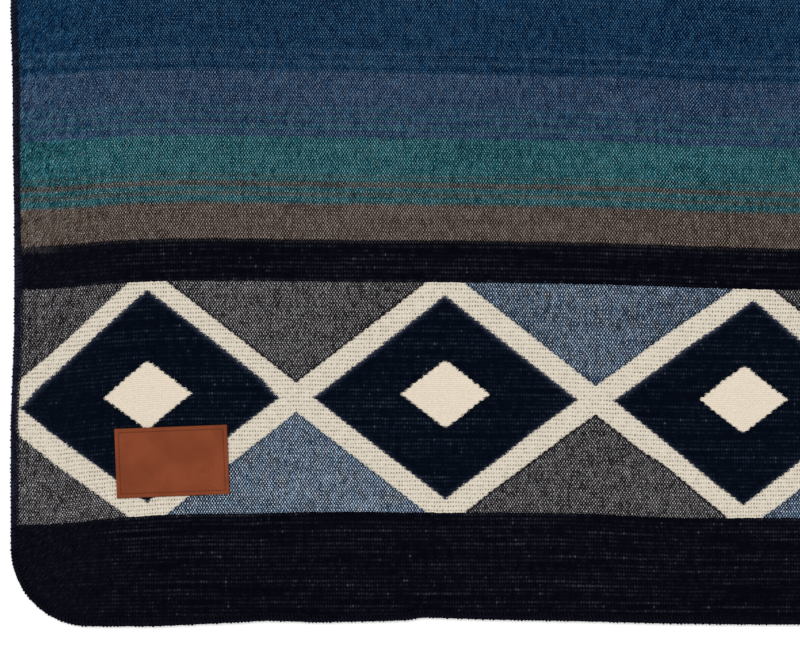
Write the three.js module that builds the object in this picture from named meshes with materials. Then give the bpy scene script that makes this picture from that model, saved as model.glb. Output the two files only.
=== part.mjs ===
import * as THREE from 'three';

// A woven wool blanket laid out flat with its face up, in millimetres.
// X runs across its width and Y along its length, away from the labelled hem.
// The origin lies on the surface it rests on, under the middle of its outline.

// Driving dimensions
const width = 1660;
const length = 2280;
const cornerRadius = 55;
const clothThickness = 3;
const gap = 0.3;

// Overlock stitching: a band of yarn that wraps the edge of the cloth and squeezes it a little
const overlockWidth = 5.6;
const yarnLayer = 0.6;
const clothInset = 1.6;
const squeezedThickness = 2;
const squeezeEnds = 14;

// Leather label
const labelWidth = 79.5;
const labelHeight = 49;
const labelThickness = 1.5;
const labelCorner = 1;
const labelBevel = 0.3;
const labelFromSide = 113.5;
const labelFromHem = 116;
const labelTurn = 2.2;

// How far the two hems stand in from the straight line, by distance across from the labelled side
const hemLine = [
  { at: 0, near: 0, far: 1 },
  { at: 100, near: 0, far: 1 },
  { at: 140, near: 1.8, far: 0.6 },
  { at: 180, near: 4, far: 0 },
  { at: 215, near: 2.8, far: 0.4 },
  { at: 255, near: 3.5, far: 1.5 },
  { at: 278, near: 4.2, far: 2 },
  { at: 290, near: 6.3, far: 2.3 },
  { at: 335, near: 4.8, far: 3 },
  { at: 400, near: 3.6, far: 3.6 },
  { at: 460, near: 2, far: 3 },
  { at: 530, near: 1.2, far: 2 },
  { at: 630, near: 1.8, far: 0.8 },
  { at: 740, near: 4, far: 0 },
  { at: 850, near: 5.2, far: 1.2 },
  { at: 960, near: 4, far: 3.2 },
  { at: 1070, near: 2, far: 4.6 },
  { at: 1180, near: 0.4, far: 4 },
  { at: 1290, near: 0, far: 2.2 },
  { at: 1390, near: 1.2, far: 0.8 },
  { at: 1470, near: 3, far: 0 },
  { at: 1540, near: 2.4, far: 0.6 },
  { at: 1660, near: 1, far: 1 },
];

// The same for the two sides, by distance along from the labelled hem
const sideLine = [
  { at: 0, near: 0, far: 0.5 },
  { at: 100, near: 0, far: 0.5 },
  { at: 145, near: 0, far: 0.2 },
  { at: 175, near: 1.2, far: 0 },
  { at: 205, near: 2.4, far: 0 },
  { at: 245, near: 2.5, far: 0.3 },
  { at: 290, near: 2.4, far: 0.8 },
  { at: 345, near: 1.5, far: 1.6 },
  { at: 390, near: 1.3, far: 2.2 },
  { at: 425, near: 0.1, far: 2.6 },
  { at: 520, near: 0, far: 3.4 },
  { at: 640, near: 1.5, far: 3 },
  { at: 780, near: 3.5, far: 1.8 },
  { at: 930, near: 5, far: 0.6 },
  { at: 1080, near: 4.2, far: 0 },
  { at: 1230, near: 2, far: 1 },
  { at: 1380, near: 0.5, far: 2.8 },
  { at: 1530, near: 0, far: 4.4 },
  { at: 1680, near: 1.2, far: 4.8 },
  { at: 1820, near: 3, far: 3.4 },
  { at: 1950, near: 3.6, far: 1.6 },
  { at: 2070, near: 2, far: 0.4 },
  { at: 2170, near: 0.8, far: 0.5 },
  { at: 2280, near: 0.5, far: 0.5 },
];

// How far in from the outline its unevenness dies out
const unevenReach = 80;

// Low swells where the cloth doesn't lie quite flat: middle, half lengths and height
const swells = [
  { x: 230, y: -940, halfX: 300, halfY: 340, height: 4 },
  { x: 690, y: -560, halfX: 330, halfY: 300, height: 5 },
  { x: -600, y: -240, halfX: 360, halfY: 300, height: 4.5 },
  { x: 330, y: 60, halfX: 260, halfY: 380, height: 3.5 },
  { x: 650, y: 560, halfX: 300, halfY: 380, height: 4.5 },
  { x: -480, y: 520, halfX: 400, halfY: 280, height: 5 },
  { x: 60, y: 930, halfX: 360, halfY: 300, height: 4 },
];

// Insets from the outline at which the cloth is divided, from its own edge to the ends of the corners
const edgeInsets = [clothInset, overlockWidth + gap, squeezeEnds, 24, 34, 45, cornerRadius];

// Height of one row of a table at a distance, on a straight line between its rows
function readLine(line, column, at) {
  const next = Math.max(1, line.findIndex((row) => row.at >= at));
  const [low, high] = [line[next - 1], line[next]];
  return THREE.MathUtils.mapLinear(at, low.at, high.at, low[column], high[column]);
}

// Fades from 1 on the outline to 0 where its unevenness has died out
function nearness(inset) {
  return 1 - THREE.MathUtils.smoothstep(inset, 0, unevenReach);
}

// Nearest point of the middle rectangle, on whose corners the rounded corners are centred
function coreOf(flat) {
  const limit = new THREE.Vector2(width / 2 - cornerRadius, length / 2 - cornerRadius);
  return flat.clone().clamp(limit.clone().negate(), limit);
}

// A point of the square-cornered sheet, drawn in so that the corners become arcs
function roundCorner(flat) {
  const core = coreOf(flat);
  const arm = flat.clone().sub(core);
  const reach = Math.max(Math.abs(arm.x), Math.abs(arm.y));
  return core.add(arm.setLength(reach));
}

// Height of the swells at a point
function liftAt(point) {
  return swells.reduce((sum, swell) => {
    const spread = ((point.x - swell.x) / swell.halfX) ** 2 + ((point.y - swell.y) / swell.halfY) ** 2;
    return sum + swell.height * Math.max(0, 1 - spread) ** 2;
  }, 0);
}

// A point of the flat sheet, at a height in its thickness, where it comes to lie
function lay(flat, height) {
  const point = roundCorner(flat);
  const across = point.x + width / 2;
  const along = point.y + length / 2;
  const dx = readLine(sideLine, 'near', along) * nearness(across)
    - readLine(sideLine, 'far', along) * nearness(width - across);
  const dy = readLine(hemLine, 'near', across) * nearness(along)
    - readLine(hemLine, 'far', across) * nearness(length - along);
  return new THREE.Vector3(point.x + dx, point.y + dy, height + liftAt(point));
}

// Where the sheet is divided along one axis: the edge insets at both ends, the table's rows between
function divisions(size, line) {
  const start = edgeInsets.map((inset) => inset - size / 2);
  const middle = line.map((row) => row.at - size / 2).filter((at) => Math.abs(at) < size / 2 - cornerRadius);
  const end = start.map((at) => -at).reverse();
  return [...start, ...middle, ...end];
}

const columns = divisions(width, hemLine);
const rows = divisions(length, sideLine);

// The cloth: one sheet, thinner where the overlock stitches hold it
function makeCloth() {
  const geometry = new THREE.BoxGeometry(1, 1, 1, columns.length - 1, rows.length - 1, 1);
  const position = geometry.attributes.position;
  const seat = yarnLayer + gap;
  for (let i = 0; i < position.count; i += 1) {
    const x = columns[Math.round((position.getX(i) + 0.5) * (columns.length - 1))];
    const y = rows[Math.round((position.getY(i) + 0.5) * (rows.length - 1))];
    const inset = Math.min(width / 2 - Math.abs(x), length / 2 - Math.abs(y));
    const free = THREE.MathUtils.smoothstep(inset, overlockWidth + gap, squeezeEnds);
    const underside = THREE.MathUtils.lerp(seat, 0, free);
    const face = THREE.MathUtils.lerp(seat + squeezedThickness, clothThickness, free);
    position.setXYZ(i, ...lay(new THREE.Vector2(x, y), position.getZ(i) > 0 ? face : underside));
  }
  geometry.computeVertexNormals();
  return geometry;
}

// Section of the overlock band, a channel round the cloth's edge: inset from the outline, and height
function overlockSection() {
  const height = squeezedThickness + 2 * (yarnLayer + gap);
  const mouth = overlockWidth;
  const slotEnd = clothInset - gap;
  return [
    [mouth, yarnLayer],
    [mouth, yarnLayer / 2],
    [mouth - 1.8, 0],
    [1.4, 0],
    [0.3, 0.9],
    [0, height / 2],
    [0.3, height - 0.9],
    [1.4, height],
    [mouth - 1.8, height],
    [mouth, height - yarnLayer / 2],
    [mouth, height - yarnLayer],
    [slotEnd, height - yarnLayer],
    [slotEnd, yarnLayer],
  ].map(([inset, z]) => new THREE.Vector2(inset, z));
}

// Points round the square-cornered outline, one for each division of the cloth, counter-clockwise
function outlineStations() {
  const innerX = columns.slice(1, -1);
  const innerY = rows.slice(1, -1);
  const [right, top] = [width / 2, length / 2];
  return [
    [-right, -top], ...innerX.map((x) => [x, -top]),
    [right, -top], ...innerY.map((y) => [right, y]),
    [right, top], ...innerX.toReversed().map((x) => [x, top]),
    [-right, top], ...innerY.toReversed().map((y) => [-right, y]),
  ].map(([x, y]) => new THREE.Vector2(x, y));
}

// The edge yarn: a turned ring of the section, laid along the outline
function makeEdge() {
  const section = overlockSection();
  const stations = outlineStations();
  const geometry = new THREE.LatheGeometry([...section, section[0]], stations.length);
  const position = geometry.attributes.position;
  for (let i = 0; i < position.count; i += 1) {
    const station = stations[Math.floor(i / (section.length + 1)) % stations.length];
    const { x: inset, y: height } = section[(i % (section.length + 1)) % section.length];
    const core = coreOf(station);
    const flat = station.clone().sub(core).multiplyScalar(1 - inset / cornerRadius).add(core);
    position.setXYZ(i, ...lay(flat, height));
  }
  geometry.computeVertexNormals();
  return geometry;
}

// The label: a patch of leather with small round corners and broken edges
function makeLabel() {
  const [x, y] = [labelWidth / 2 - labelBevel, labelHeight / 2 - labelBevel];
  const r = labelCorner;
  const outline = new THREE.Shape();
  outline.moveTo(r - x, -y);
  outline.lineTo(x - r, -y);
  outline.absarc(x - r, r - y, r, -Math.PI / 2, 0);
  outline.lineTo(x, y - r);
  outline.absarc(x - r, y - r, r, 0, Math.PI / 2);
  outline.lineTo(r - x, y);
  outline.absarc(r - x, y - r, r, Math.PI / 2, Math.PI);
  outline.lineTo(-x, r - y);
  outline.absarc(r - x, r - y, r, Math.PI, Math.PI * 1.5);
  const geometry = new THREE.ExtrudeGeometry(outline, {
    depth: labelThickness - 2 * labelBevel,
    bevelThickness: labelBevel,
    bevelSize: labelBevel,
    bevelSegments: 1,
    curveSegments: 3,
  });
  return geometry.translate(0, 0, labelBevel);
}

function part(name, geometry, color, roughness) {
  const mesh = new THREE.Mesh(geometry, new THREE.MeshStandardMaterial({ color, roughness, metalness: 0 }));
  mesh.name = name;
  return mesh;
}

const label = part('leather_label', makeLabel(), 0x8c4a2c, 0.6);
label.position.set(labelFromSide - width / 2, labelFromHem - length / 2, clothThickness + gap);
label.rotation.z = THREE.MathUtils.degToRad(labelTurn);

const blanket = new THREE.Group();
blanket.add(part('blanket_cloth', makeCloth(), 0x2a4358, 0.95));
blanket.add(part('edge_yarn', makeEdge(), 0x16171d, 0.95));
blanket.add(label);

export default blanket;
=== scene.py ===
import math
import random
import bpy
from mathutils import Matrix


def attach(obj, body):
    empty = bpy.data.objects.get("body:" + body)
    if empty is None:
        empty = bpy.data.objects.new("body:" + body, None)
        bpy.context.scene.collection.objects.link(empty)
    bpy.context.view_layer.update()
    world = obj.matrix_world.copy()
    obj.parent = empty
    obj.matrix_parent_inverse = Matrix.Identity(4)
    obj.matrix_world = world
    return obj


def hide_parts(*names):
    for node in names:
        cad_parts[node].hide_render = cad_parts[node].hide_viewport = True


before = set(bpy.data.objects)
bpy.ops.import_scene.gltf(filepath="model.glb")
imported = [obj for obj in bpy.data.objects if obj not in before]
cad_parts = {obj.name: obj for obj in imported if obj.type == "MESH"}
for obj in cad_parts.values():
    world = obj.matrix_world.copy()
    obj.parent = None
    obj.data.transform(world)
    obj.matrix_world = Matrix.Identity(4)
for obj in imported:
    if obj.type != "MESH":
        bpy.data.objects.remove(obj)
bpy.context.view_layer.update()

import types

import bmesh
import bpy
from mathutils import Matrix, Vector, noise

# A wool blanket lying flat with its face up, seen from straight above.
# Sizes are in millimetres and tones are screen levels; both are turned into Blender's own at the end.
# "near" is the labelled hem or side and "far" the other one. Across runs from the near side, and along
# from the near hem.

metre = 0.001
lightLevel = 1.19  # brightness of a white surface under the lights, so tones can be given as they look
dice = random.Random(7)

blanket = {
    "width": 1660,
    "length": 2280,
    "cornerRadius": 55,
    "thickness": 3,
    "gridStep": 10,
    "edgeInsets": [1.6, 3.4, 5.9, 8, 10.5, 14, 20, 27],  # from the outline, where the sheet is divided
    "cornerStep": 9,
    "overlockWidth": 5.6,
    "squeezed": (5.9, 14),  # inset over which the squeezed edge gets back to its full thickness
    "squeezedThickness": 2,
    "seat": 0.9,  # height of the squeezed edge over the surface, where the yarn passes under it
    "unevenReach": 80,
    "ripple": 0.6,
    "rippleSize": 95,
    "rippleMiddle": 0.5,
    "rippleSwing": 0.7,
    "rippleLayer": 4.2,
}


def tableOf(names, rows):
    return [dict(zip(names.split(), row)) for row in rows]


# How far the hems stand in from the straight line, by distance across
hemLine = tableOf("at near far", [
    (0, 0, 1), (100, 0, 1), (140, 1.8, 0.6), (180, 4, 0), (215, 2.8, 0.4), (255, 3.5, 1.5),
    (278, 4.2, 2), (290, 6.3, 2.3), (335, 4.8, 3), (400, 3.6, 3.6), (460, 2, 3), (530, 1.2, 2),
    (630, 1.8, 0.8), (740, 4, 0), (850, 5.2, 1.2), (960, 4, 3.2), (1070, 2, 4.6), (1180, 0.4, 4),
    (1290, 0, 2.2), (1390, 1.2, 0.8), (1470, 3, 0), (1540, 2.4, 0.6), (1660, 1, 1),
])

# The same for the sides, by distance along
sideLine = tableOf("at near far", [
    (0, 0, 0.5), (100, 0, 0.5), (145, 0, 0.2), (175, 1.2, 0), (205, 2.4, 0), (245, 2.5, 0.3),
    (290, 2.4, 0.8), (345, 1.5, 1.6), (390, 1.3, 2.2), (425, 0.1, 2.6), (520, 0, 3.4),
    (640, 1.5, 3), (780, 3.5, 1.8), (930, 5, 0.6), (1080, 4.2, 0), (1230, 2, 1), (1380, 0.5, 2.8),
    (1530, 0, 4.4), (1680, 1.2, 4.8), (1820, 3, 3.4), (1950, 3.6, 1.6), (2070, 2, 0.4),
    (2170, 0.8, 0.5), (2280, 0.5, 0.5),
])

# Low swells where the cloth doesn't lie quite flat, placed from the middle of the blanket
swells = tableOf("x y halfX halfY height", [
    (230, -940, 300, 340, 4), (690, -560, 330, 300, 5), (-600, -240, 360, 300, 4.5),
    (330, 60, 260, 380, 3.5), (650, 560, 300, 380, 4.5), (-480, 520, 400, 280, 5),
    (60, 930, 360, 300, 4),
])

# How far the woven rows dip towards the near hem, at the foot, middle and head of the diamonds
# and above the stripes
rowDips = tableOf("at foot middle head top", [
    (0, 9.8, 7.5, 5.2, 3.2), (31, 9.5, 7.3, 4.4, 1.1), (51, 6.7, 5.4, 2.8, 0.4),
    (70, 4.6, 3.4, 1, -1), (90, 3.2, 1.8, 0, -1.6), (110, 1.8, 0.7, -0.7, -2),
    (130, 1.1, 0.4, -0.9, -2.4), (168, 1, 0.3, -0.8, -1.4), (203, 0, 0.1, -0.3, -0.6),
    (240, -0.3, 0.8, 0, -0.2), (309, 0.3, 0.9, 0.3, 1), (379, 0.3, 1.5, 1.2, 2.3),
    (414, 1.4, 2.3, 1.9, 3.2), (449, 3.5, 3.7, 2.9, 4.4), (485, 4.6, 4.6, 4.2, 7.2),
    (544, 4.2, 4.8, 6, 8.3), (620, 4.5, 5.5, 6.5, 8.5), (760, 3, 3.5, 4, 4), (900, 0, 0, 0, 0),
    (1100, -1, -1, -1, -1), (1350, 2, 2, 2, 1.5), (1560, 1, 0.8, 0.5, 0), (1640, 4, 3.2, 2.5, 1),
    (1660, 5, 4, 3, 2),
])


def clamp(value, low=0.0, high=1.0):
    return max(low, min(high, value))


def smooth(value, low, high):
    share = clamp((value - low) / (high - low))
    return share * share * (3 - 2 * share)


def readLine(line, column, at):
    # straight between a table's rows
    for low, high in zip(line, line[1:]):
        if at <= high["at"]:
            break
    share = clamp((at - low["at"]) / (high["at"] - low["at"]))
    return low[column] + (high[column] - low[column]) * share


def nearness(inset):
    return 1 - smooth(inset, 0, blanket["unevenReach"])


def roundCorner(x, y):
    # draws a point of the square-cornered sheet in, so that the corners become arcs
    limitX = blanket["width"] / 2 - blanket["cornerRadius"]
    limitY = blanket["length"] / 2 - blanket["cornerRadius"]
    core = Vector((clamp(x, -limitX, limitX), clamp(y, -limitY, limitY)))
    arm = Vector((x, y)) - core
    if arm.length:
        core += arm.normalized() * max(abs(x - core.x), abs(y - core.y))
    return core


def liftAt(x, y):
    # height of the swells and of the small ripples over them
    lift = 0
    for swell in swells:
        spread = ((x - swell["x"]) / swell["halfX"]) ** 2 + ((y - swell["y"]) / swell["halfY"]) ** 2
        lift += swell["height"] * max(0, 1 - spread) ** 2
    size = blanket["rippleSize"]
    wave = noise.noise(Vector((x / size, y / size, blanket["rippleLayer"])))
    return lift + blanket["ripple"] * clamp(blanket["rippleMiddle"] + blanket["rippleSwing"] * wave)


def settle(x, y, height):
    # where a point of the flat sheet comes to lie, in millimetres
    across = x + blanket["width"] / 2
    along = y + blanket["length"] / 2
    x += readLine(sideLine, "near", along) * nearness(across)
    x -= readLine(sideLine, "far", along) * nearness(blanket["width"] - across)
    y += readLine(hemLine, "near", across) * nearness(along)
    y -= readLine(hemLine, "far", across) * nearness(blanket["length"] - along)
    return Vector((x, y, height + liftAt(x, y)))


def dipAt(across, along):
    heights = [
        {"at": 0, "dip": 0},
        {"at": 80, "dip": readLine(rowDips, "foot", across)},
        {"at": 165, "dip": readLine(rowDips, "middle", across)},
        {"at": 250, "dip": readLine(rowDips, "head", across)},
        {"at": 390, "dip": readLine(rowDips, "top", across)},
        {"at": 800, "dip": 0},
    ]
    return readLine(heights, "dip", along)


# Where the diamonds are pulled aside: each lean comes up between the first two places and goes again
# between the last two
leans = [
    {"by": 7.4, "across": (440, 525, 560, 720), "along": (166, 231, 300, 700)},  # the third one's top
    {"by": 3.4, "across": (-1, 0, 5, 95), "along": (-1, 0, 260, 330)},
    {"by": 1.9, "across": (395, 432, 462, 505), "along": (-1, 0, 260, 330)},
]


def plateau(value, places):
    return smooth(value, *places[:2]) * (1 - smooth(value, *places[2:]))


def leanAt(across, along):
    total = 0
    for lean in leans:
        total += lean["by"] * plateau(across, lean["across"]) * plateau(along, lean["along"])
    return total


def patternPlace(x, y):
    # the place on the woven pattern that shows at a point: across and along, bent with the cloth
    across = x + blanket["width"] / 2
    along = y + blanket["length"] / 2
    if y < 0:
        return Vector((across - leanAt(across, along), along + dipAt(across, along), 0))
    fromFar = blanket["width"] - across, blanket["length"] - along
    return Vector((across + leanAt(*fromFar), along - dipAt(*fromFar), 0))


def outlineAt(distance):
    # a point of the rounded outline, counter-clockwise from the near hem, and the way out of the cloth
    radius = blanket["cornerRadius"]
    core = [blanket["width"] / 2 - radius, blanket["length"] / 2 - radius]
    arc = radius * math.pi / 2
    for side in range(4):
        straight = 2 * core[side % 2]
        if distance < straight + arc or side == 3:
            break
        distance -= straight + arc
    ahead = Vector((1, 0)), Vector((0, 1)), Vector((-1, 0)), Vector((0, -1))
    away = ahead[side - 1]
    start = Vector(((-1, 1, 1, -1)[side] * core[0], (-1, -1, 1, 1)[side] * core[1]))
    if distance < straight:
        return start + ahead[side] * distance + away * radius, away
    angle = (distance - straight) / radius
    away = away * math.cos(angle) + ahead[side] * math.sin(angle)
    return start + ahead[side] * straight + away * radius, away


def addObject(name, data):
    made = bpy.data.objects.new(name, data)
    bpy.context.collection.objects.link(made)
    return made


def meshObject(name, mesh, material):
    # a finished piece at the origin, smooth all over
    data = bpy.data.meshes.new(name)
    mesh.to_mesh(data)
    mesh.free()
    return dataObject(name, data, material)


def dataObject(name, data, material):
    data.shade_smooth()
    data.materials.clear()
    data.materials.append(material)
    return addObject(name, data)


def sheetOf(columns, rows, placeName):
    # a closed sheet divided at these places; returns it with each corner's column, row and side
    mesh = bmesh.new()
    placeLayer = mesh.verts.layers.float_vector.new(placeName)
    bmesh.ops.create_grid(mesh, x_segments=len(columns) - 1, y_segments=len(rows) - 1, size=0.5)
    bmesh.ops.solidify(mesh, geom=mesh.faces[:], thickness=1)
    corners = []
    for corner in mesh.verts:
        column = round((corner.co.x + 0.5) * (len(columns) - 1))
        row = round((corner.co.y + 0.5) * (len(rows) - 1))
        corners.append((corner, columns[column], rows[row], corner.co.z > -0.5))
    return mesh, corners, placeLayer


# Materials: tones are mixed as they look on a screen, then turned into the reflectance that shows so
def levels(red, green, blue, strength=255):
    return (red / 255, green / 255, blue / 255, strength / 255)


screenCurve = {"power": 2.4, "start": 0.055}


class NodeTools:
    # short ways to add the nodes that the materials use most
    def __init__(self, tree):
        self.tree = tree
        self.shader = tree.nodes["Principled BSDF"]

    def add(self, kind):
        return self.tree.nodes.new("ShaderNode" + kind)

    def fill(self, node, values):
        # values or links for a node's inputs, by their names or in their order
        for name, value in values.items() if isinstance(values, dict) else enumerate(values):
            if isinstance(value, bpy.types.NodeSocket):
                self.tree.links.new(value, node.inputs[name])
            else:
                node.inputs[name].default_value = value

    def calc(self, operation, *values, tidy=False):
        node = self.add("Math")
        node.operation = operation
        node.use_clamp = tidy
        self.fill(node, values)
        return node.outputs[0]

    def gap(self, first, second):
        return self.calc("ABSOLUTE", self.calc("SUBTRACT", first, second))

    def nearerEnd(self, place, size):
        # distance from the nearer of the two ends
        return self.calc("MINIMUM", place, self.calc("SUBTRACT", size, place))

    def times(self, value, factor, plus=None, tidy=False):
        if plus is None:
            return self.calc("MULTIPLY", value, factor, tidy=tidy)
        return self.calc("MULTIPLY_ADD", value, factor, plus, tidy=tidy)

    def between(self, share, ends):
        # from the first end to the second as the share goes from 0 to 1
        return self.times(share, ends[1] - ends[0], ends[0])

    def mix(self, share, first, second):
        node = self.add("Mix")
        node.data_type = "RGBA"
        self.fill(node, {0: share, 6: first, 7: second})
        return node.outputs[2]

    def step(self, value, low, high, start=0.0, end=1.0):
        node = self.add("MapRange")
        node.interpolation_type = "SMOOTHSTEP"
        self.fill(node, (value, low, high, start, end))
        return node.outputs[0]

    def edge(self, value, reach, softness):
        return self.step(value, reach - softness, reach + softness)

    def grain(self, vector, size, detail=2.0, roughness=0.5):
        # noise with bumps of about this size, mostly between -1 and 1
        node = self.add("TexNoise")
        self.fill(node, {"Vector": vector, "Scale": 1 / size, "Detail": detail, "Roughness": roughness})
        return self.times(node.outputs[0], 4, -2)

    def lay(self, vector, turn=0.0, size=(1, 1, 1), middle=(0, 0, 0)):
        # moves a pattern to its middle, turns it and stretches it to a size
        node = self.add("Mapping")
        node.vector_type = "TEXTURE"
        self.fill(node, {"Vector": vector, "Location": middle, "Rotation": (0, 0, turn), "Scale": size})
        return node.outputs[0]

    def join(self, x, y, z=0.0):
        node = self.add("CombineXYZ")
        self.fill(node, (x, y, z))
        return node.outputs[0]

    def split(self, vector):
        node = self.add("SeparateXYZ")
        self.fill(node, [vector])
        return tuple(node.outputs)

    def tint(self, operation, tone, amount):
        # works on a tone's three channels at once
        node = self.add("VectorMath")
        node.operation = operation
        self.fill(node, (tone, amount))
        return node.outputs[0]

    def addTint(self, tone, colour, share):
        return self.tint("ADD", tone, self.tint("MULTIPLY", colour, share))

    def objectPlace(self):
        return self.add("TexCoord").outputs["Object"]

    def attribute(self, name):
        node = self.add("Attribute")
        node.attribute_name = name
        return node.outputs["Vector"]

    def reflectance(self, tone):
        # the curve from a screen level to a reflectance, less what the lights add
        power = screenCurve["power"]
        scale = lightLevel ** (-1 / power) / (1 + screenCurve["start"])
        tone = self.tint("MAXIMUM", tone, (0, 0, 0))
        tone = self.tint("MULTIPLY", tone, (scale,) * 3)
        tone = self.tint("ADD", tone, (screenCurve["start"] * scale,) * 3)
        curve = self.add("Gamma")
        self.fill(curve, (tone, power))
        return curve.outputs[0]

    def finish(self, tone, relief, depth):
        # colour and bump into the shader; depth is in millimetres
        bump = self.add("Bump")
        self.fill(bump, {"Distance": depth * metre, "Height": relief})
        self.fill(self.shader, {"Normal": bump.outputs[0], "Base Color": self.reflectance(tone)})


def newMaterial(name, roughness, specular, sheen):
    material = bpy.data.materials.new(name)
    material.use_nodes = True
    use = NodeTools(material.node_tree)
    use.fill(use.shader, {"Roughness": roughness, "Specular IOR Level": specular,
                          "Sheen Weight": sheen, "Sheen Roughness": 0.4})
    return material, use


weave = {
    "columnWidth": 1.909,
    "rowHeight": 2.948,
    "firstDiamond": 96,  # across, to its middle
    "bandMiddle": 161.4,  # along, to the middle of the diamonds
    "bandRows": 55,
    "repeat": 110,  # columns from diamond to diamond
    "lastGap": 6,
    "darkReach": 48.7,  # a diamond's size from its middle, in columns along the middle row
    "lineReach": 61.9,
    "heartReach": 16.4,
    "heartRows": 7.9,  # its tips are cut off at this row
    "heartRise": 1,
    "lineStep": 0.4,  # how squarely the diamonds' edges step from row to row
    "darkStep": 0.45,
}

# The nap is brushed up along the sides. Here and below, a pair holds where a change starts and ends,
# or the shares in plain nap and in brushed up nap, unless its note says otherwise.
nap = {
    "hairAngle": math.radians(52),
    "hairSize": (6, 0.9, 1),
    "brushed": (20, 95),  # from the sides, where it goes over to plain nap
    "ragged": 14,  # how unevenly it does that
    "raggedSize": 45,
    "besideBand": (74, 88),  # from the middle of the diamonds, over which it is brushed up less
    "overBand": 0.5,
    "hairShift": (0.4, 1.3),  # how far the hairs carry the colours along themselves
    "fuzzShift": (0.25, 0.55),
    "fuzzSize": 2.4,
    "wander": 0.25,
    "wanderSize": 22,
}

# The woven dots: how strongly they line up in the two slanting ways, and straight
dots = {
    "rising": 0.58,
    "falling": 0.53,
    "sway": 0.15,  # one way gives in to the other by patches
    "swaySize": 7,
    "rows": 0.02,
    "columns": 0.14,
}

# Uneven yarn, in clouds and in single rows and columns, and broad patches of painted light and shade as
# over low ripples of the cloth
uneven = {
    "cloud": (5, 9, 1),
    "rippleShadeCloud": (110, 60, 1),
    "rowLength": 70,
    "rowJump": 1.7,
    "columnLength": 14,
    "columnJump": 1.3,
    "fuzz": 0.8,
    "hueCloud": (3.2, 9, 1),
    "hue": (0.03, -0.006, -0.022),  # some yarns are warmer, some bluer
}

# How light the yarn is against its stripe's own tone
yarnMix = {
    "drawn": (0.55, 1.45),  # a dot's strength is drawn by lot between the two, as below
    "dots": (1, 0.52),
    "weakening": (240, 340),  # from the sides, where the dots get a little weaker
    "weak": 0.86,
    "contrast": 0.725,
    "level": (-0.06, 0.02),
    # painted light and shade in broad patches, as over low ripples
    "broad": 0.035,
    "clouds": 0.12,
    "columns": 0.07,
    "fuzz": 0.15,
    "rows": 0.05,
    "hairs": (0.05, 0.31),
    "limit": 0.6,
}

# The plain dark ground: faint flecks straight above each other, in rows that come and go, and a few
# bright ones
groundMix = {
    "fleck": (0.68, 0.42),  # its middle and its wave
    "even": 0.22,
    "rows": 0.3,
    "clouds": 0.22,
    "drawn": (0.5, 1.5),
    "brightDraw": 0.93,  # a dot that is drawn above this is bright
    "brightClouds": (-0.2, 0.8),
    "bright": 0.7,
    "flecks": (1, 0.2),
    "level": (0.05, 0.11),
    "fuzz": 0.07,
    "hairs": (0.04, 0.14),
}

# Where a cream line is woven thinner, from and to a place across: how many columns it loses to the
# dark middle and to the gap outside it, in the rows towards the far hem (way 1) or the near one (-1)
thinLines = [
    {"from": -50, "to": 192, "way": 1, "dark": 2.5, "gap": 0},
    {"from": 500, "to": 580, "way": 1, "dark": 0.9, "gap": 0},
    {"from": 450, "to": 505, "way": -1, "dark": 0, "gap": 2},
]
thinning = {"across": 10, "rows": 5}  # over how much of the cloth a line gets thinner

# Stripes from the near hem inwards, with the strength of their weave; the far end has the same.
# The diamonds stand from 80 to 243.
stripeReach = 450
stripes = [
    {"from": 0, "tone": (1, 2, 10), "strength": 72},  # border, and the stripe above the diamonds
    {"from": 269.9, "tone": (20, 18, 22), "strength": 60},
    {"from": 271.1, "tone": (74, 63, 57), "strength": 130},  # brown
    {"from": 296.2, "tone": (50, 67, 69), "strength": 135},
    {"from": 298.2, "tone": (29, 75, 82), "strength": 140},  # teal
    {"from": 302.2, "tone": (50, 66, 66), "strength": 135},
    {"from": 304.8, "tone": (31, 75, 82), "strength": 140},
    {"from": 308.2, "tone": (61, 63, 61), "strength": 132},
    {"from": 311.2, "tone": (30, 74, 80), "strength": 140},
    {"from": 314.9, "tone": (41, 68, 71), "strength": 135},
    {"from": 317.3, "tone": (23, 73, 81), "strength": 142},
    {"from": 343.6, "tone": (32, 56, 81), "strength": 120},  # slate
    {"from": 349.4, "tone": (30, 67, 83), "strength": 126},
    {"from": 352.3, "tone": (32, 56, 81), "strength": 120},
    {"from": 355.2, "tone": (29, 69, 83), "strength": 126},
    {"from": 358.4, "tone": (32, 56, 81), "strength": 120},
    {"from": 361.8, "tone": (33, 64, 84), "strength": 122},
    {"from": 364.8, "tone": (34, 56, 81), "strength": 120},
    {"from": 388.6, "tone": (16, 46, 72), "strength": 114},
    {"from": 391, "tone": (2, 38, 66), "strength": 110},  # blue
    {"from": 395, "tone": (19, 50, 76), "strength": 114},
    {"from": 397.6, "tone": (8, 42, 69), "strength": 110},
    {"from": 401.2, "tone": (21, 51, 77), "strength": 114},
    {"from": 404.8, "tone": (4, 40, 68), "strength": 110},
]

stripeMix = {
    "edgeDots": 0.5,  # how far the dots carry a stripe's edge
    "evenBrown": (292, 300),  # the brown has less of the yarns' hues than the stripes beyond it
    "brownHue": 0.25,
    "bluerFrom": (296, 300),
    "hazeDrop": 1.5,  # from the brown's edge to the middle of the haze
    "hazeHeight": (0.5, 3.6),
    "hazeInset": (20, 36),
    "haze": (0.9, 0.1),
    "hazeClouds": (-1.6, 0.4),
    "hazeThin": 0.3,
    "hazeYarn": 0.35,
}

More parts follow.
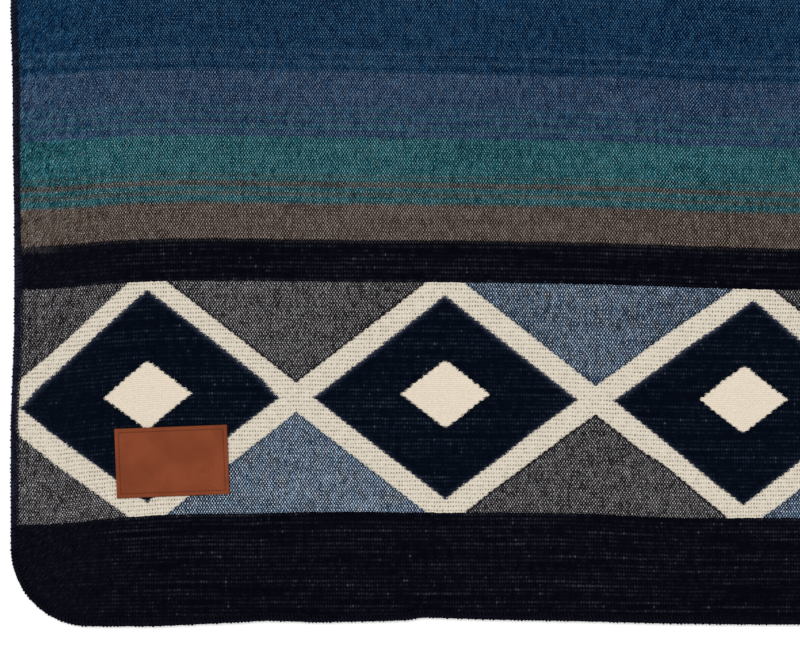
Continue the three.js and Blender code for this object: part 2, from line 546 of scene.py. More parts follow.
clothTones = {
    "gray": levels(42, 39.5, 41.5),
    "grayStrength": 0.84,
    "denim": levels(53, 68, 85),
    "denimStrength": 0.88,
    "lowerLift": 0.035,  # the denim below the diamonds' middle is a little lighter
    "grayLift": 0.5,  # and the gray half as much
    "cream": levels(219, 210, 194),
    # painted shade in the small holes of the cream
    "hole": levels(106, 96, 78),
    "heart": levels(225, 212, 193),
    "navy": levels(-2, 5, 16),
    "navyStrength": 0.28,
    "haze": levels(66, 68, 88),  # where cream and navy fibres mingle
    "brownHaze": levels(42, 39, 41),  # below the brown stripe, where the nap is brushed up
    "seam": levels(18, 16, 20),
    "darkBlue": (0.065, 0, -0.055),  # the darker yarn in the blues is the bluer one
    "darkDenim": (0.145, 0, -0.14),
    "denimColumns": (-0.035, -0.01, 0.02),
    # tone of the painted highlight along the brushed-up hairs
    "hair": levels(112, 116, 126),
    "edgeShade": 0.3,  # the cloth is darker between the stitches along its edge: painted shade, and the dark yarn under the turns
}

diamondMix = {
    "fray": 0.6,  # how many columns the fuzz and the hairs carry an edge
    "hairFray": 0.35,
    "lineSoft": 0.35,  # how softly the lines, the dark middles and the hearts end, in columns
    "darkSoft": 0.6,
    "heartSoft": 0.5,
    "hue": (0.2, 0.85),  # in the gray and in the denim
    "seamGap": 0.8,  # from a line's edge to the dark seam beside it
    "seam": (0.1, 0.9),
    "seamDark": 0.9,
    "seamColour": (1, 0.3),  # in the gray and in the denim
    "drawn": (0.4, 1.2),
    "holeAcross": 1.6,  # how small the holes are
    "holeAlong": 2.5,
    "creamFuzz": 0.03,
    "creamClouds": 0.02,
    "hazeReach": 3.5,
    "haze": (0.35, 0.85),  # below and above the middle row
    "hazeFuzz": (-1, 0.6),
    "rib": 0.07,
    "ribFuzz": 0.035,
    "ribDrop": 0.035,
}


def brushNap(use, on):
    # the hairs, and the place on the pattern whose colour they bring to each point
    on.hairs = use.grain(use.lay(on.flat, nap["hairAngle"], nap["hairSize"]), 1, 2, 0.6)
    sideGap = use.nearerEnd(on.across, blanket["width"])
    on.sideGap = use.times(use.grain(on.flat, nap["raggedSize"]), nap["ragged"], sideGap)
    fromBand = use.gap(use.nearerEnd(on.along, blanket["length"]), weave["bandMiddle"])
    overBand = use.step(fromBand, *nap["besideBand"], nap["overBand"], 1)
    on.brushed = use.times(use.step(on.sideGap, *nap["brushed"], 1, 0), overBand)
    hairShift = use.times(on.hairs, use.between(on.brushed, nap["hairShift"]))
    fuzzShift = use.between(on.brushed, nap["fuzzShift"])
    fuzzX = use.times(use.grain(on.flat, nap["fuzzSize"], 1), fuzzShift)
    fuzzY = use.times(use.grain(use.lay(on.flat, middle=(400, 900, 0)), nap["fuzzSize"], 1), fuzzShift)
    wander = use.times(use.grain(on.flat, nap["wanderSize"], 1), nap["wander"])
    atX = use.calc("ADD", use.times(hairShift, math.cos(nap["hairAngle"]), on.across), wander)
    atY = use.calc("SUBTRACT", use.times(hairShift, math.sin(nap["hairAngle"]), on.along), wander)
    return use.calc("ADD", atX, fuzzX), use.calc("ADD", atY, fuzzY)


def countWeave(use, on, atX, atY):
    # columns and rows of the weave, counted from the middle of the first diamond; both ends are alike
    on.fromHem = use.nearerEnd(atY, blanket["length"])
    fromDiamond = use.calc("SUBTRACT", atX, weave["firstDiamond"])
    fromMiddle = use.calc("SUBTRACT", on.fromHem, weave["bandMiddle"])
    on.column = use.calc("DIVIDE", fromDiamond, weave["columnWidth"])
    on.row = use.calc("DIVIDE", fromMiddle, weave["rowHeight"])
    on.wholeRow = use.calc("ROUND", on.row)


def dotYarns(use, on):
    # light dots of one yarn over the other, each row half a column from the last
    rising = use.calc("ADD", on.column, on.row)
    falling = use.calc("SUBTRACT", on.column, on.row)
    counts = on.column, on.row, rising, falling
    waves = [use.calc("COSINE", use.times(count, 2 * math.pi)) for count in counts]
    on.acrossWave, on.alongWave, risingWave, fallingWave = waves
    patches = use.grain(use.lay(on.flat, middle=(700, 300, 0)), dots["swaySize"], 1)
    on.lattice = use.times(risingWave, use.times(patches, dots["sway"], dots["rising"]))
    on.lattice = use.times(fallingWave, use.times(patches, -dots["sway"], dots["falling"]), on.lattice)
    on.lattice = use.times(on.alongWave, dots["rows"], on.lattice)
    on.lattice = use.times(on.acrossWave, dots["columns"], on.lattice)
    drawing = use.add("TexWhiteNoise")
    drawing.noise_dimensions = "2D"
    use.fill(drawing, {"Vector": use.join(use.calc("ROUND", rising), use.calc("ROUND", falling))})
    on.drawn = drawing.outputs["Value"]


def shadeYarns(use, on):
    on.cloudy = use.grain(use.lay(on.flat, size=uneven["cloud"]), 1)
    along = use.times(on.across, 1 / uneven["rowLength"])
    on.rowShade = use.grain(use.join(along, use.times(on.wholeRow, uneven["rowJump"])), 1, 1)
    wholeColumn = use.times(use.calc("ROUND", on.column), uneven["columnJump"])
    along = use.times(on.along, 1 / uneven["columnLength"])
    on.columnShade = use.grain(use.join(wholeColumn, along), 1, 1)
    on.fuzz = use.grain(on.flat, uneven["fuzz"], 1)
    hue = use.grain(use.lay(on.flat, size=uneven["hueCloud"], middle=(300, 500, 0)), 1)
    on.hue = use.tint("MULTIPLY", uneven["hue"], hue)
    # broad patches of painted light and shade, as over low ripples of the cloth
    broad = use.grain(use.lay(on.flat, size=uneven["rippleShadeCloud"]), 1)

    strength = use.between(on.drawn, yarnMix["drawn"])
    strength = use.times(strength, use.between(on.brushed, yarnMix["dots"]))
    strength = use.times(strength, use.step(on.sideGap, *yarnMix["weakening"], 1, yarnMix["weak"]))
    level = use.between(on.brushed, yarnMix["level"])
    yarn = use.times(use.times(on.lattice, strength), yarnMix["contrast"], level)
    yarn = use.times(broad, yarnMix["broad"], yarn)
    yarn = use.times(on.cloudy, yarnMix["clouds"], yarn)
    yarn = use.times(on.columnShade, yarnMix["columns"], yarn)
    yarn = use.times(on.fuzz, yarnMix["fuzz"], yarn)
    yarn = use.times(on.rowShade, yarnMix["rows"], yarn)
    hairShare = use.between(use.calc("POWER", on.brushed, 3), yarnMix["hairs"])
    yarn = use.times(on.hairs, hairShare, yarn)
    on.yarn = use.calc("MAXIMUM", use.calc("MINIMUM", yarn, yarnMix["limit"]), -yarnMix["limit"])
    on.darkYarn = use.calc("MINIMUM", on.yarn, 0)


def shadeGround(use, on):
    middle, wave = groundMix["fleck"]
    fleck = use.times(use.times(on.alongWave, 0.5, 0.5), use.times(on.acrossWave, wave, middle))
    shade = use.times(on.rowShade, groundMix["rows"], groundMix["even"])
    shade = use.times(on.cloudy, groundMix["clouds"], shade, tidy=True)
    shade = use.times(shade, use.between(on.drawn, groundMix["drawn"]))
    bright = use.times(use.step(on.drawn, groundMix["brightDraw"], 1),
                       use.step(on.cloudy, *groundMix["brightClouds"]))
    shade = use.times(bright, groundMix["bright"], shade)
    fleck = use.times(fleck, use.times(shade, use.between(on.brushed, groundMix["flecks"])))
    ground = use.calc("ADD", fleck, use.between(on.brushed, groundMix["level"]))
    ground = use.times(on.fuzz, groundMix["fuzz"], ground)
    hairShare = use.between(on.brushed, groundMix["hairs"])
    on.ground = use.times(on.hairs, hairShare, ground, tidy=True)


def clothFields(use):
    # everything that the cloth's colours are worked out from
    on = types.SimpleNamespace()
    on.across, on.along, on.edge = use.split(use.attribute("flatPlace"))
    on.flat = use.join(on.across, on.along)
    countWeave(use, on, *brushNap(use, on))
    dotYarns(use, on)
    shadeYarns(use, on)
    shadeGround(use, on)
    return on


def stripeTone(use, on):
    node = use.add("ValToRGB")
    node.color_ramp.interpolation = "CONSTANT"
    elements = node.color_ramp.elements
    elements.remove(elements[1])
    for index, stripe in enumerate(stripes):
        element = elements.new(stripe["from"] / stripeReach) if index else elements[0]
        element.color = levels(*stripe["tone"], stripe["strength"])
    height = use.times(on.lattice, stripeMix["edgeDots"], on.fromHem)
    use.fill(node, [use.calc("DIVIDE", height, stripeReach)])
    coloured = use.calc("GREATER_THAN", height, stripes[1]["from"])
    light = use.times(use.calc("SUBTRACT", 1, coloured), on.ground, use.times(coloured, on.yarn))
    tone = use.tint("ADD", node.outputs["Color"], use.times(light, node.outputs["Alpha"]))
    hueShare = use.step(height, *stripeMix["evenBrown"], stripeMix["brownHue"], 1)
    tone = use.addTint(tone, on.hue, use.times(coloured, hueShare))
    bluer = use.times(on.darkYarn, use.step(height, *stripeMix["bluerFrom"]))
    tone = use.addTint(tone, clothTones["darkBlue"], bluer)

    # the brown and the black fibres mingle between their stripes
    fromHaze = use.gap(height, stripes[2]["from"] - stripeMix["hazeDrop"])
    blurred = use.step(on.edge, *stripeMix["hazeInset"], *stripeMix["haze"])
    blurred = use.times(blurred, use.step(fromHaze, *stripeMix["hazeHeight"], 1, 0))
    clouds = use.step(on.cloudy, *stripeMix["hazeClouds"], stripeMix["hazeThin"], 1)
    haze = use.tint("ADD", clothTones["brownHaze"][:3], use.times(on.yarn, stripeMix["hazeYarn"]))
    return use.mix(use.times(blurred, clouds), tone, haze)


def gapTone(use, on, lineDistance):
    # the gaps between diamonds are gray and denim by turns, and gray beside the sides
    gap = use.calc("FLOOR", use.calc("DIVIDE", on.column, weave["repeat"]))
    denim = use.calc("COMPARE", on.upper, use.calc("FLOORED_MODULO", gap, 2), 0.5)
    inner = use.times(use.calc("GREATER_THAN", gap, -0.5),
                      use.calc("LESS_THAN", gap, weave["lastGap"] + 0.5))
    denim = use.times(denim, inner)
    lift = use.between(on.upper, (clothTones["lowerLift"], 0))
    grayLight = use.times(on.yarn, clothTones["grayStrength"], use.times(lift, clothTones["grayLift"]))
    gray = use.tint("ADD", clothTones["gray"][:3], grayLight)
    denimLight = use.times(on.yarn, clothTones["denimStrength"], lift)
    tone = use.mix(denim, gray, use.tint("ADD", clothTones["denim"][:3], denimLight))
    tone = use.addTint(tone, on.hue, use.between(denim, diamondMix["hue"]))
    tone = use.addTint(tone, clothTones["denimColumns"], use.times(on.columnShade, denim))
    tone = use.addTint(tone, clothTones["darkDenim"], use.times(on.darkYarn, denim))

    # a dark seam follows the cream lines
    fromSeam = use.gap(lineDistance, weave["lineReach"] + diamondMix["seamGap"])
    seam = use.step(fromSeam, *diamondMix["seam"], diamondMix["seamDark"], 0)
    seam = use.times(seam, use.between(denim, diamondMix["seamColour"]))
    seam = use.times(use.times(seam, inner), use.between(on.drawn, diamondMix["drawn"]))
    return use.mix(seam, tone, clothTones["seam"])


def creamTone(use, on):
    # with small holes between the yarns, darkened with painted shade
    holeAcross = use.calc("POWER", use.times(on.acrossWave, 0.5, 0.5), diamondMix["holeAcross"])
    holeAlong = use.calc("POWER", use.times(on.alongWave, 0.5, 0.5), diamondMix["holeAlong"])
    hole = use.times(holeAcross, holeAlong)
    hole = use.times(hole, use.between(on.drawn, diamondMix["drawn"]), tidy=True)
    # the holes take a painted shade
    cream = use.mix(hole, clothTones["cream"], clothTones["hole"])
    light = use.times(on.cloudy, diamondMix["creamClouds"])
    return use.tint("ADD", cream, use.times(on.fuzz, diamondMix["creamFuzz"], light))


def navyTone(use, on, darkDistance):
    # cream fibres mingle in along the edge
    navy = use.tint("ADD", clothTones["navy"][:3], use.times(on.ground, clothTones["navyStrength"]))
    haze = use.step(darkDistance, weave["darkReach"] - diamondMix["hazeReach"], weave["darkReach"])
    haze = use.times(haze, use.between(on.upper, diamondMix["haze"]))
    haze = use.times(haze, use.step(on.fuzz, *diamondMix["hazeFuzz"]))
    return use.mix(haze, navy, clothTones["haze"])


def heartTone(use, on):
    fuzz = use.times(on.fuzz, diamondMix["ribFuzz"])
    ribs = use.times(use.calc("POWER", on.alongWave, 2), diamondMix["rib"], fuzz)
    ribs = use.calc("SUBTRACT", ribs, diamondMix["ribDrop"])
    return use.tint("ADD", clothTones["heart"][:3], ribs)


def diamondTone(use, on):
    # distances from a diamond's middle, in columns, counting each row as two
    turns = use.calc("ROUND", use.calc("DIVIDE", on.column, weave["repeat"]))
    fromMiddle = use.calc("ABSOLUTE", use.times(turns, -weave["repeat"], on.column))
    rounding = use.calc("SUBTRACT", on.wholeRow, on.row)
    lineRow = use.times(rounding, weave["lineStep"], on.row)
    darkRow = use.times(rounding, weave["darkStep"], on.row)
    fray = use.times(on.fuzz, diamondMix["fray"], fromMiddle)
    lineDistance = use.times(use.calc("ABSOLUTE", lineRow), 2, fray)
    fray = use.times(on.hairs, diamondMix["hairFray"], fray)
    darkDistance = use.times(use.calc("ABSOLUTE", darkRow), 2, fray)
    heartRow = use.gap(darkRow, weave["heartRise"])
    heartDistance = use.times(heartRow, 2, fray)
    heartTips = use.times(heartRow, weave["heartReach"] / weave["heartRows"])
    heartDistance = use.calc("MAXIMUM", heartDistance, heartTips)
    for line in thinLines:
        ease = thinning["across"]
        share = use.step(on.across, line["from"] - ease, line["from"] + ease)
        share = use.times(share, use.step(on.across, line["to"] - ease, line["to"] + ease, 1, 0))
        share = use.times(share, use.step(on.row, 0, thinning["rows"] * line["way"]))
        darkDistance = use.times(share, -line["dark"], darkDistance)
        lineDistance = use.times(share, line["gap"], lineDistance)

    on.upper = use.calc("GREATER_THAN", on.row, 0)
    tone = gapTone(use, on, lineDistance)
    outside = use.edge(lineDistance, weave["lineReach"], diamondMix["lineSoft"])
    tone = use.mix(outside, creamTone(use, on), tone)
    outside = use.edge(darkDistance, weave["darkReach"], diamondMix["darkSoft"])
    tone = use.mix(outside, navyTone(use, on, darkDistance), tone)
    outside = use.edge(heartDistance, weave["heartReach"], diamondMix["heartSoft"])
    return use.mix(outside, heartTone(use, on), tone)


finish = {
    "hairHighlights": (0.4, 1),  # hairs above this get a painted highlight
    "hairShare": (0.02, 0.24),
    "stitchInset": (3.4, 5.2),  # the cloth's tone goes back to its own over this inset, out of the painted shade between the stitches
    "hairRelief": 0.25,
    "yarnRelief": 0.6,
    "depth": 0.35,
    "glossHairs": (-0.8, 0.8),  # between these the hairs go from their least roughness to the most
    "glossiest": 0.86,
}


def clothMaterial():
    material, use = newMaterial("wool_cloth", 0.95, 0.01, 0.01)
    on = clothFields(use)
    inBand = use.calc("LESS_THAN", use.calc("ABSOLUTE", on.row), weave["bandRows"] / 2)
    tone = use.mix(inBand, stripeTone(use, on), diamondTone(use, on))
    # a painted highlight along the tops of the hairs, strongest where the nap is brushed up
    hairHighlights = use.step(on.hairs, *finish["hairHighlights"])
    hairHighlights = use.times(hairHighlights, use.between(on.brushed, finish["hairShare"]))
    tone = use.mix(hairHighlights, tone, clothTones["hair"])
    # painted shade between the stitches along the edge, where the dark yarn also shows
    shade = use.step(on.edge, *finish["stitchInset"], clothTones["edgeShade"], 1)
    relief = use.times(on.hairs, finish["hairRelief"], use.times(on.yarn, finish["yarnRelief"]))
    use.finish(use.tint("MULTIPLY", tone, shade), relief, finish["depth"])
    roughness = use.step(on.hairs, *finish["glossHairs"], finish["glossiest"], 1)
    use.fill(use.shader, {"Roughness": roughness})
    return material


def divisions(size):
    # places along one axis: close together where the edge is squeezed, then the plain grid
    step = blanket["cornerStep"]
    edge = list(blanket["edgeInsets"])
    edge += range(edge[-1] + step, blanket["cornerRadius"] + step + 1, step)
    inner = size - 2 * edge[-1]
    count = round(inner / blanket["gridStep"])
    middle = [edge[-1] + inner * index / count for index in range(1, count)]
    places = edge + middle + [size - inset for inset in reversed(edge)]
    return [place - size / 2 for place in places]


def makeCloth(material):
    columns = divisions(blanket["width"])
    rows = divisions(blanket["length"])
    mesh, corners, flatPlace = sheetOf(columns, rows, "flatPlace")
    for corner, x, y, isFace in corners:
        inset = min(blanket["width"] / 2 - abs(x), blanket["length"] / 2 - abs(y))
        free = smooth(inset, *blanket["squeezed"])
        height = blanket["seat"] * (1 - free)
        if isFace:
            squeezed = blanket["seat"] + blanket["squeezedThickness"]
            height = squeezed + (blanket["thickness"] - squeezed) * free
        point = roundCorner(x, y)
        spot = settle(point.x, point.y, height)
        corner.co = spot * metre
        place = patternPlace(spot.x, spot.y)
        place.z = inset
        corner[flatPlace] = place
    return meshObject("blanket_cloth_woven", mesh, material)


overlock = {
    "pitch": 2.5,
    "yarnRadius": 0.66,
    "needleRadius": 0.26,
    "chainInset": 5.4,
    "slant": 0.55,
    "unevenness": 0.38,
    "thickSpread": 0.12,
    "bedStep": 8,
}

# One turn of the overlock yarn round the edge: its share of the pitch, inset from the outline and height
yarnTurn = tableOf("share inset height", [
    (0, 5.1, 1.9), (0.06, 4.8, 3.1), (0.16, 3.7, 3.38), (0.3, 2.1, 3.36), (0.42, 0.6, 3.15),
    (0.5, -0.05, 2.5), (0.56, -0.05, 1.5), (0.64, 0.7, 0.8), (0.78, 3, 0.76), (0.92, 4.9, 0.8),
])

# The same for the chain of needle stitches on it, at one inset
chainTurn = tableOf("share height", [(0.1, 2.9), (0.3, 3.2), (0.7, 3.2), (0.95, 2.8)])

# How much of their inset the turns have along the sides, by distance from the near hem
yarnReach = tableOf("at reach", [
    (0, 0.95), (96, 0.95), (124, 1.08), (152, 0.86), (180, 1), (223, 1.08), (240, 0.95),
    (275, 0.75), (307, 0.74), (335, 0.86), (385, 0.9), (420, 0.75), (520, 0.9), (760, 0.8),
    (980, 1), (1250, 0.85), (1600, 0.98), (1900, 0.84), (2280, 0.95),
])

# The core of yarn that fills the turns outside the cloth's own edge
bedSection = tableOf("inset height", [
    (3, 1.9), (2.8, 0.75), (1.6, 0.6), (0.3, 0.8), (-0.2, 1.3), (-0.35, 1.9), (-0.2, 2.6),
    (0.4, 3.05), (1.6, 3.2), (2.8, 3.05),
])

yarnLook = {
    "dark": levels(3, 4, 14),
    "light": levels(23, 23, 37),
    "worn": levels(54, 57, 82),  # along the sides
    # tone of the painted highlights on the yarn's fibres
    "speck": levels(86, 88, 112),
    "fibreSize": 0.7,
    "fibres": 0.45,
    "patchSize": 5,
    "patches": 0.25,
    "even": 0.4,
    "glintingFibres": (0.45, 0.95),
    "fibreGlints": (0.2, 0.6),  # painted highlights on the fibres, in new and in worn yarn
    "wornFrom": (40, 10),  # from the sides, where the yarn goes over to worn
    "wornUntil": (100, 50),  # from the hems, where that ends
    "depth": 0.1,
}


def yarnMaterial():
    material, use = newMaterial("edge_yarn", 0.9, 0.02, 0.02)
    spot = use.lay(use.objectPlace(), 0, (metre,) * 3)
    fibre = use.grain(spot, yarnLook["fibreSize"], 3, 0.6)
    share = use.times(use.grain(spot, yarnLook["patchSize"]), yarnLook["patches"], yarnLook["even"])
    share = use.times(fibre, yarnLook["fibres"], share, tidy=True)
    fromMiddle = [use.calc("ABSOLUTE", part) for part in use.split(spot)[:2]]
    sides = [blanket["width"] / 2 - inset for inset in yarnLook["wornFrom"]]
    hems = [blanket["length"] / 2 - inset for inset in yarnLook["wornUntil"]]
    worn = use.times(use.step(fromMiddle[0], *sides), use.step(fromMiddle[1], *hems, 1, 0))
    tone = use.mix(share, yarnLook["dark"], use.mix(worn, yarnLook["light"], yarnLook["worn"]))
    # painted highlights on the tops of the fibres, more of them where the yarn is worn
    fibreGlints = use.times(use.step(fibre, *yarnLook["glintingFibres"]), use.between(worn, yarnLook["fibreGlints"]))
    use.finish(use.mix(fibreGlints, tone, yarnLook["speck"]), fibre, yarnLook["depth"])
    return material


def overlockPoint(distance, inset, height):
    spot, away = outlineAt(distance)
    spot = spot - away * inset
    return settle(spot.x, spot.y, height) * metre


def addYarn(curve, points):
    spline = curve.splines.new("POLY")
    spline.points.add(len(points) - 1)
    for point, (spot, radius) in zip(spline.points, points):
        point.co = (*spot, 1)
        point.radius = radius


def makeOverlock(name, start, end, material):
    # the yarn turns round the edge in an uneven coil, with a chain of needle stitches on its inner line
    count = round((end - start) / overlock["pitch"])
    pitch = (end - start) / count
    coil = []
    chain = []
    chainThick = overlock["needleRadius"] / overlock["yarnRadius"]
    for index in range(count + 1):
        base = start + index * pitch
        reach = readLine(yarnReach, "reach", outlineAt(base)[0].y + blanket["length"] / 2)
        loose = dice.uniform(-1, 1) * overlock["unevenness"]
        thick = 1 + dice.uniform(-overlock["thickSpread"], overlock["thickSpread"])
        for row in yarnTurn[:1] if index == count else yarnTurn:
            lean = overlock["slant"] * pitch * (1 - row["inset"] / blanket["overlockWidth"])
            along = min(end, max(start, base + row["share"] * pitch + lean * (row["share"] > 0)))
            inset = row["inset"] * reach + loose * (1 if row["share"] else 0)
            coil.append((overlockPoint(along, inset, row["height"]), thick))
        if index < count:
            inset = overlock["chainInset"] * reach + loose
            for row in chainTurn:
                spot = overlockPoint(base + row["share"] * pitch, inset, row["height"])
                chain.append((spot, chainThick))
    curve = bpy.data.curves.new(name, "CURVE")
    curve.dimensions = "3D"
    curve.bevel_depth = overlock["yarnRadius"] * metre
    curve.bevel_resolution = 1
    curve.use_fill_caps = True
    addYarn(curve, coil)
    addYarn(curve, chain)
    shape = addObject(name + "_path", curve)
    data = bpy.data.meshes.new_from_object(shape)
    bpy.data.objects.remove(shape)
    bpy.data.curves.remove(curve)
    return dataObject(name, data, material)


def perimeter():
    radius = blanket["cornerRadius"]
    arc = radius * math.pi / 2
    sides = [blanket["width"] - 2 * radius + arc, blanket["length"] - 2 * radius + arc]
    return [0, sides[0], sum(sides), sum(sides) + sides[0], 2 * sum(sides)]


def makeBed(material):
    # a thin tube of yarn under the turns, rolled up from a grid and joined end to end
    total = perimeter()[-1]
    stations = round(total / overlock["bedStep"])
    count = len(bedSection)
    mesh = bmesh.new()
    bmesh.ops.create_grid(mesh, x_segments=stations, y_segments=count, size=0.5)
    for corner in mesh.verts:
        station = round((corner.co.x + 0.5) * stations) % stations
        row = bedSection[round((corner.co.y + 0.5) * count) % count]
        corner.co = overlockPoint(station * total / stations, row["inset"], row["height"])
    bmesh.ops.remove_doubles(mesh, verts=mesh.verts[:], dist=1e-6)
    bmesh.ops.recalc_face_normals(mesh, faces=mesh.faces[:])
    return meshObject("overlock_bed", mesh, material)


label = {
    "width": 79.5,
    "height": 49,
    "thickness": 1.5,
    "fromSide": 113.5,
    "fromHem": 116,
    "turn": math.radians(2.2),
    "seat": 2.95,
    "grooveInset": 2.9,
    "grooveDepth": 0.22,
    "rimWidth": 0.8,
    "rimDrop": 0.35,
    "unevenness": 0.05,
    "unevenSize": 7,
    "stitchPitch": 2.5,
    "stitchLength": 1.9,
    "stitchRadius": 0.22,
    "stitchRise": 0.35,
    "stitchWobble": 0.02,
}


def labelPoint(x, y, height):
    # from a place on the label, in millimetres from its middle, to metres on the blanket
    turned = Matrix.Rotation(label["turn"], 2) @ Vector((x, y))
    atX = turned.x + label["fromSide"] - blanket["width"] / 2
    atY = turned.y + label["fromHem"] - blanket["length"] / 2
    return Vector((atX, atY, label["seat"] + height + liftAt(atX, atY))) * metre


def labelDivisions(size):
    inset = label["grooveInset"]
    edge = [0, 0.12, 0.35, label["rimWidth"]]
    edge += [inset + aside for aside in (-0.8, -0.35, -0.15, 0, 0.15, 0.35, 0.8)]
    inner = size - 2 * edge[-1]
    count = round(inner / 2)
    middle = [edge[-1] + inner * index / count for index in range(1, count)]
    return [place - size / 2 for place in edge + middle + [size - value for value in reversed(edge)]]


def makeLabel(material):
    columns = labelDivisions(label["width"])
    rows = labelDivisions(label["height"])
    mesh, corners, labelPlace = sheetOf(columns, rows, "labelPlace")
    for corner, x, y, isFace in corners:
        inset = min(label["width"] / 2 - abs(x), label["height"] / 2 - abs(y))
        height = 0
        if isFace:
            rim = label["rimDrop"] * (1 - clamp(inset / label["rimWidth"])) ** 2
            groove = label["grooveDepth"] * (1 - smooth(abs(inset - label["grooveInset"]), 0.1, 0.45))
            size = label["unevenSize"]
            grain = label["unevenness"] * noise.noise(Vector((x / size, y / size, 1)))
            height = label["thickness"] - rim - groove + grain
        corner.co = labelPoint(x, y, height)
        corner[labelPlace] = (x, y, 0)
    return meshObject("leather_label_patch", mesh, material)


def makeLabelStitches(material):
    # short stitches lying in the groove, one after the other round the label
    halfX = label["width"] / 2 - label["grooveInset"]
    halfY = label["height"] / 2 - label["grooveInset"]
    runs = [((-halfX, -halfY), (1, 0), halfX), ((halfX, -halfY), (0, 1), halfY),
            ((halfX, halfY), (-1, 0), halfX), ((-halfX, halfY), (0, -1), halfY)]
    mesh = bmesh.new()
    for start, way, half in runs:
        count = round(2 * half / label["stitchPitch"])
        for index in range(count):
            middle = Vector(start) + Vector(way) * (2 * half * (index + 0.5) / count)
            made = bmesh.ops.create_uvsphere(mesh, u_segments=6, v_segments=5, radius=1)["verts"]
            for corner in made:
                x, y, z = corner.co
                ahead = Vector(way) * (z * label["stitchLength"] / 2)
                wobble = dice.uniform(-label["stitchWobble"], label["stitchWobble"])
                aside = Vector((-way[1], way[0])) * (x * label["stitchRadius"] + wobble)
                spot = middle + ahead + aside
                lift = label["stitchRadius"] * (label["stitchRise"] + y)
                corner.co = labelPoint(spot.x, spot.y, label["thickness"] - label["grooveDepth"] + lift)
    bmesh.ops.recalc_face_normals(mesh, faces=mesh.faces[:])
    return meshObject("label_stitches", mesh, material)


leather = {
    "dark": levels(122, 56, 27),
    "light": levels(138, 67, 36),
    "grain": levels(108, 48, 24),
    "groove": levels(92, 44, 28),
    "rim": levels(84, 40, 26),
    "grains": (-0.4, 1, 0, 0.6),  # from, to, and the least and the most share
    "grooves": (0.1, 0.6, 0.2, 0),
    "rims": (0, 0.5, 0.6, 0),
    "gloss": (-0.8, 0.8, 0.5, 0.68),
    "patchSize": 24,
    "grainSize": 0.5,
    "pores": 1.6,
    "poreWidth": 0.18,
    "poreRelief": 0.5,
    "depth": 0.08,
}

thread = {
    "dark": levels(78, 38, 25),
    "light": levels(112, 56, 35),
    "fibreSize": 0.4,
    "depth": 0.05,
}


def leatherMaterial():
    material, use = newMaterial("label_leather", 0.55, 0.12, 0)
    spot = use.attribute("labelPlace")
    x, y = use.split(spot)[:2]
    broad = use.grain(spot, leather["patchSize"])
    fine = use.grain(spot, leather["grainSize"], 3, 0.6)
    pores = use.add("TexVoronoi")
    pores.feature = "DISTANCE_TO_EDGE"
    use.fill(pores, {"Vector": spot, "Scale": leather["pores"]})
    crease = use.step(pores.outputs["Distance"], 0, leather["poreWidth"])
    tone = use.mix(use.step(broad, -0.8, 0.8), leather["dark"], leather["light"])
    tone = use.mix(use.step(fine, *leather["grains"]), tone, leather["grain"])
    insetX = use.calc("SUBTRACT", label["width"] / 2, use.calc("ABSOLUTE", x))
    insetY = use.calc("SUBTRACT", label["height"] / 2, use.calc("ABSOLUTE", y))
    inset = use.calc("MINIMUM", insetX, insetY)
    groove = use.gap(inset, label["grooveInset"])
    tone = use.mix(use.step(groove, *leather["grooves"]), tone, leather["groove"])
    tone = use.mix(use.step(inset, *leather["rims"]), tone, leather["rim"])
    use.finish(tone, use.times(crease, leather["poreRelief"], fine), leather["depth"])
    use.fill(use.shader, {"Roughness": use.step(fine, *leather["gloss"])})
    return material


def threadMaterial():
    material, use = newMaterial("label_thread", 0.7, 0.1, 0)
    spot = use.lay(use.objectPlace(), 0, (metre,) * 3)
    fibre = use.grain(spot, thread["fibreSize"])
    tone = use.mix(use.step(fibre, -0.8, 0.8), thread["dark"], thread["light"])
    use.finish(tone, fibre, thread["depth"])
    return material


view = {
    "across": 274.1,  # middle of the picture
    "along": 213.9,
    "distance": 1566,
    "lens": 100,
    "sensor": 36,
}

studio = {
    "sky": 0.75,
    "light": 1.8,
    "softness": math.radians(50),
    "lightTurn": (math.radians(-14), math.radians(-18), 0),
    "floorReach": 30,  # in metres, as the drop is
    "floorDrop": 0.0005,
    "floorTones": ((0.92, 0.92, 0.92, 1), (0.95, 0.95, 0.95, 1)),
}


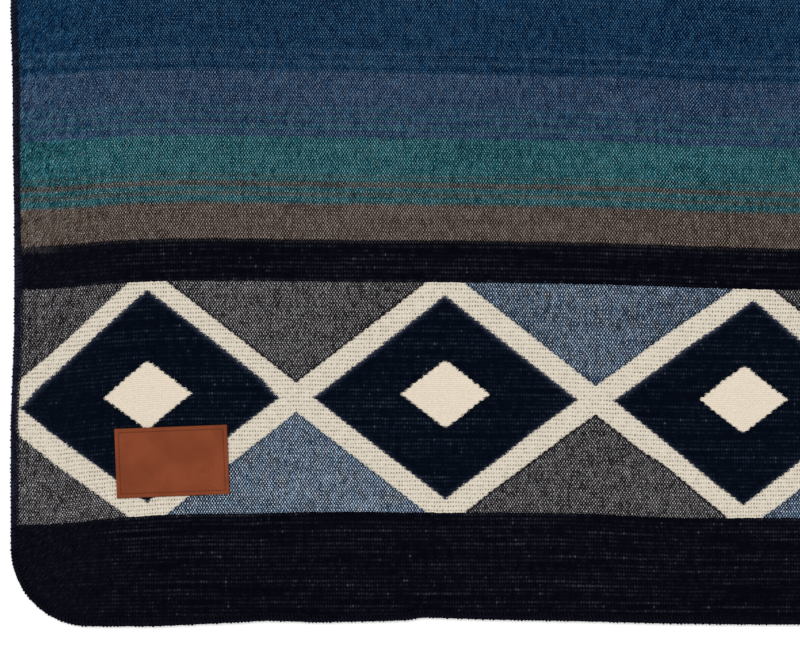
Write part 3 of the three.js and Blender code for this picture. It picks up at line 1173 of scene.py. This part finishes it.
def makeCamera():
    data = bpy.data.cameras.new("overhead_camera")
    data.lens = view["lens"]
    data.sensor_width = view["sensor"]
    data.clip_start = 0.01
    camera = addObject("overhead_camera", data)
    atX = view["across"] - blanket["width"] / 2
    atY = view["along"] - blanket["length"] / 2
    camera.location = Vector((atX, atY, view["distance"] + blanket["thickness"])) * metre
    bpy.context.scene.camera = camera


def makeStudio():
    # a white floor under a white sky, with a broad soft light from the upper left
    scene = bpy.context.scene
    scene.view_settings.view_transform = "Standard"
    world = bpy.data.worlds.new("soft_sky")
    world.use_nodes = True
    sky = world.node_tree.nodes["Background"]
    sky.inputs["Color"].default_value = (1, 1, 1, 1)
    sky.inputs["Strength"].default_value = studio["sky"]
    scene.world = world
    sun = bpy.data.lights.new("soft_light", "SUN")
    sun.energy = studio["light"]
    sun.angle = studio["softness"]
    addObject("soft_light", sun).rotation_euler = studio["lightTurn"]
    material, use = newMaterial("floor_white", 0.9, 0.1, 0)
    spot = use.objectPlace()
    tone = use.mix(use.step(use.grain(spot, 0.3), -1, 1), *studio["floorTones"])
    use.fill(use.shader, {"Base Color": tone})
    mesh = bmesh.new()
    bmesh.ops.create_grid(mesh, x_segments=4, y_segments=4, size=studio["floorReach"])
    bmesh.ops.translate(mesh, vec=(0, 0, -studio["floorDrop"]), verts=mesh.verts[:])
    floor = meshObject("studio_floor", mesh, material)


makeCamera()
print("camera placed")

cloth = makeCloth(clothMaterial())
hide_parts("blanket_cloth")
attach(cloth, "root")
print("cloth woven")

edgeYarn = yarnMaterial()
edgePieces = [makeBed(edgeYarn)]
turns = perimeter()
for index, name in enumerate(["near_hem", "far_side", "far_hem", "near_side"]):
    edgePieces.append(makeOverlock("overlock_" + name, turns[index], turns[index + 1], edgeYarn))
for piece in edgePieces:
    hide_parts("edge_yarn")
    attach(piece, "root")
print("edge overlocked")

patch = makeLabel(leatherMaterial())
stitches = makeLabelStitches(threadMaterial())
for piece in (patch, stitches):
    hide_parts("leather_label")
    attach(piece, "root")
print("label sewn on")

makeStudio()
print("floor and lights set")
